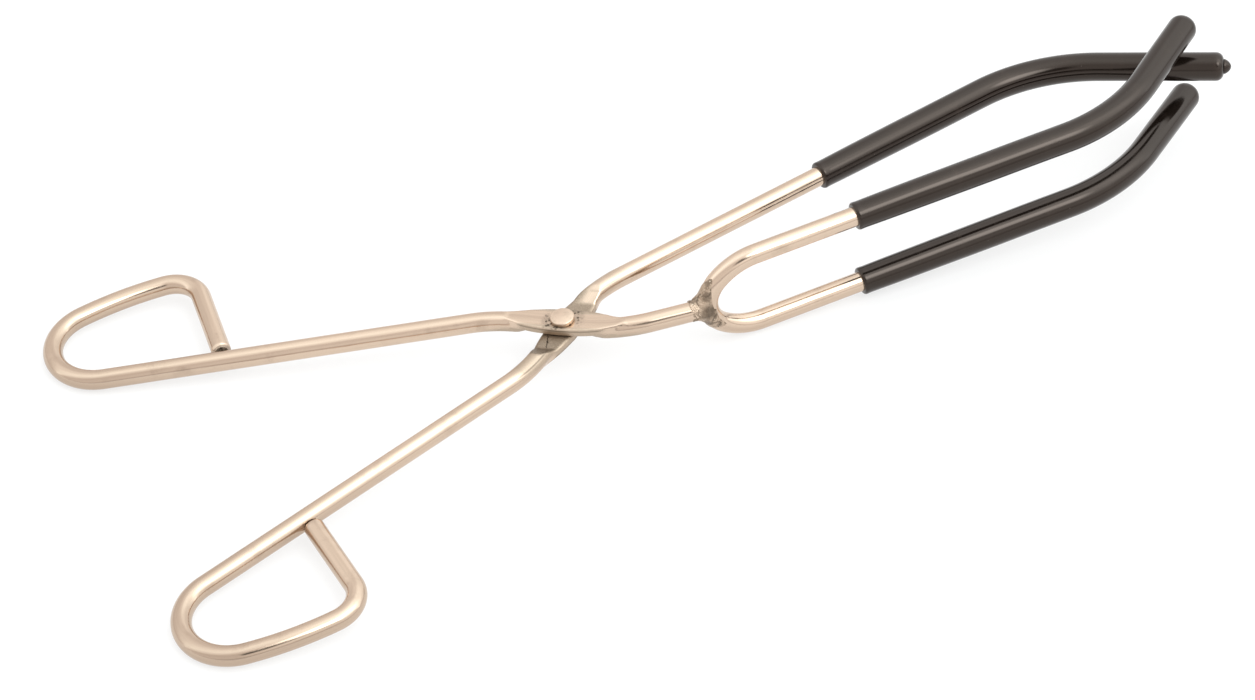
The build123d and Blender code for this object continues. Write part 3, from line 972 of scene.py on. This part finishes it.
studio = {
    "restRear": (-110, -2.38), "restFront": (44, -12.67), "floorSize": 2400,
    "floorColour": (0.24, 0.238, 0.236), "floorRoughness": 0.9, "floorShine": 0.1, "floorGlow": 0.72,
    "backdrop": (1.0, 1.0, 1.0), "strength": 1.7,
    # share of full brightness of the tent, from the horizon before the camera (0) over to the far one (1)
    "tent": [(0.0, 0.38), (0.045, 0.44), (0.10, 0.60), (0.30, 0.58), (0.40, 0.84), (0.48, 1.0), (0.55, 0.95),
             (0.66, 0.80), (0.80, 0.64), (0.93, 0.58), (1.0, 0.54)],
    "rightGain": 1.3, "gainFrom": 0.05, "gainTo": 0.3,
    "warm": (1.0, 0.975, 0.96), "cool": (1.0, 1.05, 1.06), "warmBelow": 1.0, "coolAbove": 1.7,
    # bearing from the camera to the right, height above the table, inner and outer radius, all in degrees
    "key": {"bearing": 40, "height": 50, "inner": 4, "outer": 17, "strength": 4.0},
    "fill": {"bearing": 70, "height": 48, "inner": 5, "outer": 30, "strength": 1.0},
    "gap": {"bearing": 15, "height": 42, "inner": 6, "outer": 15, "depth": 0.85},
}
cameraPlace = {
    "elevation": 42.81, "roll": -8.63, "heading": 17.3, "distance": 866.0, "pixelsPerMillimetre": 4.27,
    "pivotPixel": (563.65, 326.14), "imageSize": (1255, 700), "sensorWidth": 36,
    "nearest": 10,
}


def makeFloor():
    material, tree, shader = newMaterial("paleFloor")
    shader.inputs["Base Color"].default_value = (*studio["floorColour"], 1)
    shader.inputs["Roughness"].default_value = studio["floorRoughness"]
    shader.inputs["Specular IOR Level"].default_value = studio["floorShine"]
    shader.inputs["Emission Color"].default_value = (1, 1, 1, 1)
    shader.inputs["Emission Strength"].default_value = studio["floorGlow"]
    half = studio["floorSize"] / 2 * metre
    mesh = bpy.data.meshes.new("floor")
    corners = [(-half, -half, 0), (half, -half, 0), (half, half, 0), (-half, half, 0)]
    mesh.from_pydata(corners, [], [(0, 1, 2, 3)])
    floor = bpy.data.objects.new("floor", mesh)
    bpy.context.scene.collection.objects.link(floor)
    mesh.materials.append(material)
    (rearX, rearZ), (frontX, frontZ) = studio["restRear"], studio["restFront"]
    slope = (frontZ - rearZ) / (frontX - rearX)
    floor.location = (0, 0, (rearZ - rearX * slope) * metre)
    floor.rotation_euler = (0, -np.arctan(slope), 0)


def makeLights():
    # a white tent round the table, a soft box beyond its right side, a dark gap for the photographer
    world = bpy.data.worlds.new("studioRoom")
    world.use_nodes = True
    tree = world.node_tree
    bpy.context.scene.world = world
    facing = radians(cameraPlace["heading"])
    right = Vector((cos(facing), -sin(facing), 0))
    front = Vector((-sin(facing), -cos(facing), 0))
    over = Vector((0, 0, 1))
    way = addNode(tree, "ShaderNodeTexCoord").outputs["Generated"]

    def patch(lamp):
        bearing, height = radians(lamp["bearing"]), radians(lamp["height"])
        level = right * sin(bearing) + front * cos(bearing)
        return mapped(tree, projected(tree, way, level * cos(height) + over * sin(height)),
                      cos(radians(lamp["outer"])), cos(radians(lamp["inner"])), shape="SMOOTHSTEP")

    turn = calc(tree, "ARCTAN2", projected(tree, way, over), projected(tree, way, front))
    turn = mapped(tree, turn, 0, pi)
    tent = addNode(tree, "ShaderNodeValToRGB")
    ramp = tent.color_ramp
    ramp.interpolation = "EASE"
    for share, _ in studio["tent"][1:-1]:
        ramp.elements.new(share)
    for element, (_, level) in zip(ramp.elements, studio["tent"]):
        element.color = (level, level, level, 1)
    tree.links.new(turn, tent.inputs["Fac"])
    gain = projected(tree, way, right)
    gain = mapped(tree, gain, studio["gainFrom"], studio["gainTo"], 1, studio["rightGain"])
    light = times(tree, times(tree, tent.outputs["Color"], studio["strength"]), gain)
    shade = times(tree, patch(studio["gap"]), -studio["gap"]["depth"])
    light = times(tree, light, calc(tree, "ADD", shade, 1))
    for lamp in (studio["key"], studio["fill"]):
        light = calc(tree, "ADD", light, times(tree, patch(lamp), lamp["strength"]))
    room = tree.nodes["Background"]
    bright = mapped(tree, light, studio["warmBelow"], studio["coolAbove"])
    tint = tinted(tree, bright, studio["warm"], studio["cool"])
    tree.links.new(tint, room.inputs["Color"])
    tree.links.new(light, room.inputs["Strength"])
    backdrop = addNode(tree, "ShaderNodeBackground")
    backdrop.inputs["Color"].default_value = (*studio["backdrop"], 1)
    seen = addNode(tree, "ShaderNodeLightPath").outputs["Is Camera Ray"]
    chosen = addNode(tree, "ShaderNodeMixShader")
    for number, source in enumerate((seen, room.outputs[0], backdrop.outputs[0])):
        tree.links.new(source, chosen.inputs[number])
    tree.links.new(chosen.outputs[0], tree.nodes["World Output"].inputs["Surface"])


def makeCamera():
    # the pivot is held at its place in the picture, at the photograph's angle and scale
    raised = radians(cameraPlace["elevation"])
    right = Vector((1, 0, 0))
    up = Vector((0, sin(raised), cos(raised)))
    back = Vector((0, -cos(raised), sin(raised)))
    roll = radians(cameraPlace["roll"])
    tiltRight = right * cos(roll) + up * sin(roll)
    tiltUp = up * cos(roll) - right * sin(roll)
    width, height = cameraPlace["imageSize"]
    scale = cameraPlace["pixelsPerMillimetre"]
    pivotRight = (cameraPlace["pivotPixel"][0] - width / 2) / scale
    pivotUp = (height / 2 - cameraPlace["pivotPixel"][1]) / scale
    spot = back * cameraPlace["distance"] - tiltRight * pivotRight - tiltUp * pivotUp
    axes = Matrix((tiltRight, tiltUp, back)).transposed().to_4x4()
    axes.translation = spot * metre
    data = bpy.data.cameras.new("camera")
    data.sensor_width = cameraPlace["sensorWidth"]
    data.lens = scale * cameraPlace["distance"] * data.sensor_width / width
    data.clip_start = cameraPlace["nearest"] * metre
    camera = bpy.data.objects.new("camera", data)
    bpy.context.scene.collection.objects.link(camera)
    camera.matrix_world = Matrix.Rotation(radians(-cameraPlace["heading"]), 4, "Z") @ axes
    bpy.context.scene.camera = camera


makeFloor()
makeLights()
makeCamera()
bpy.context.scene.view_settings.view_transform = "Standard"
print("studio made")

bpy.context.view_layer.update()
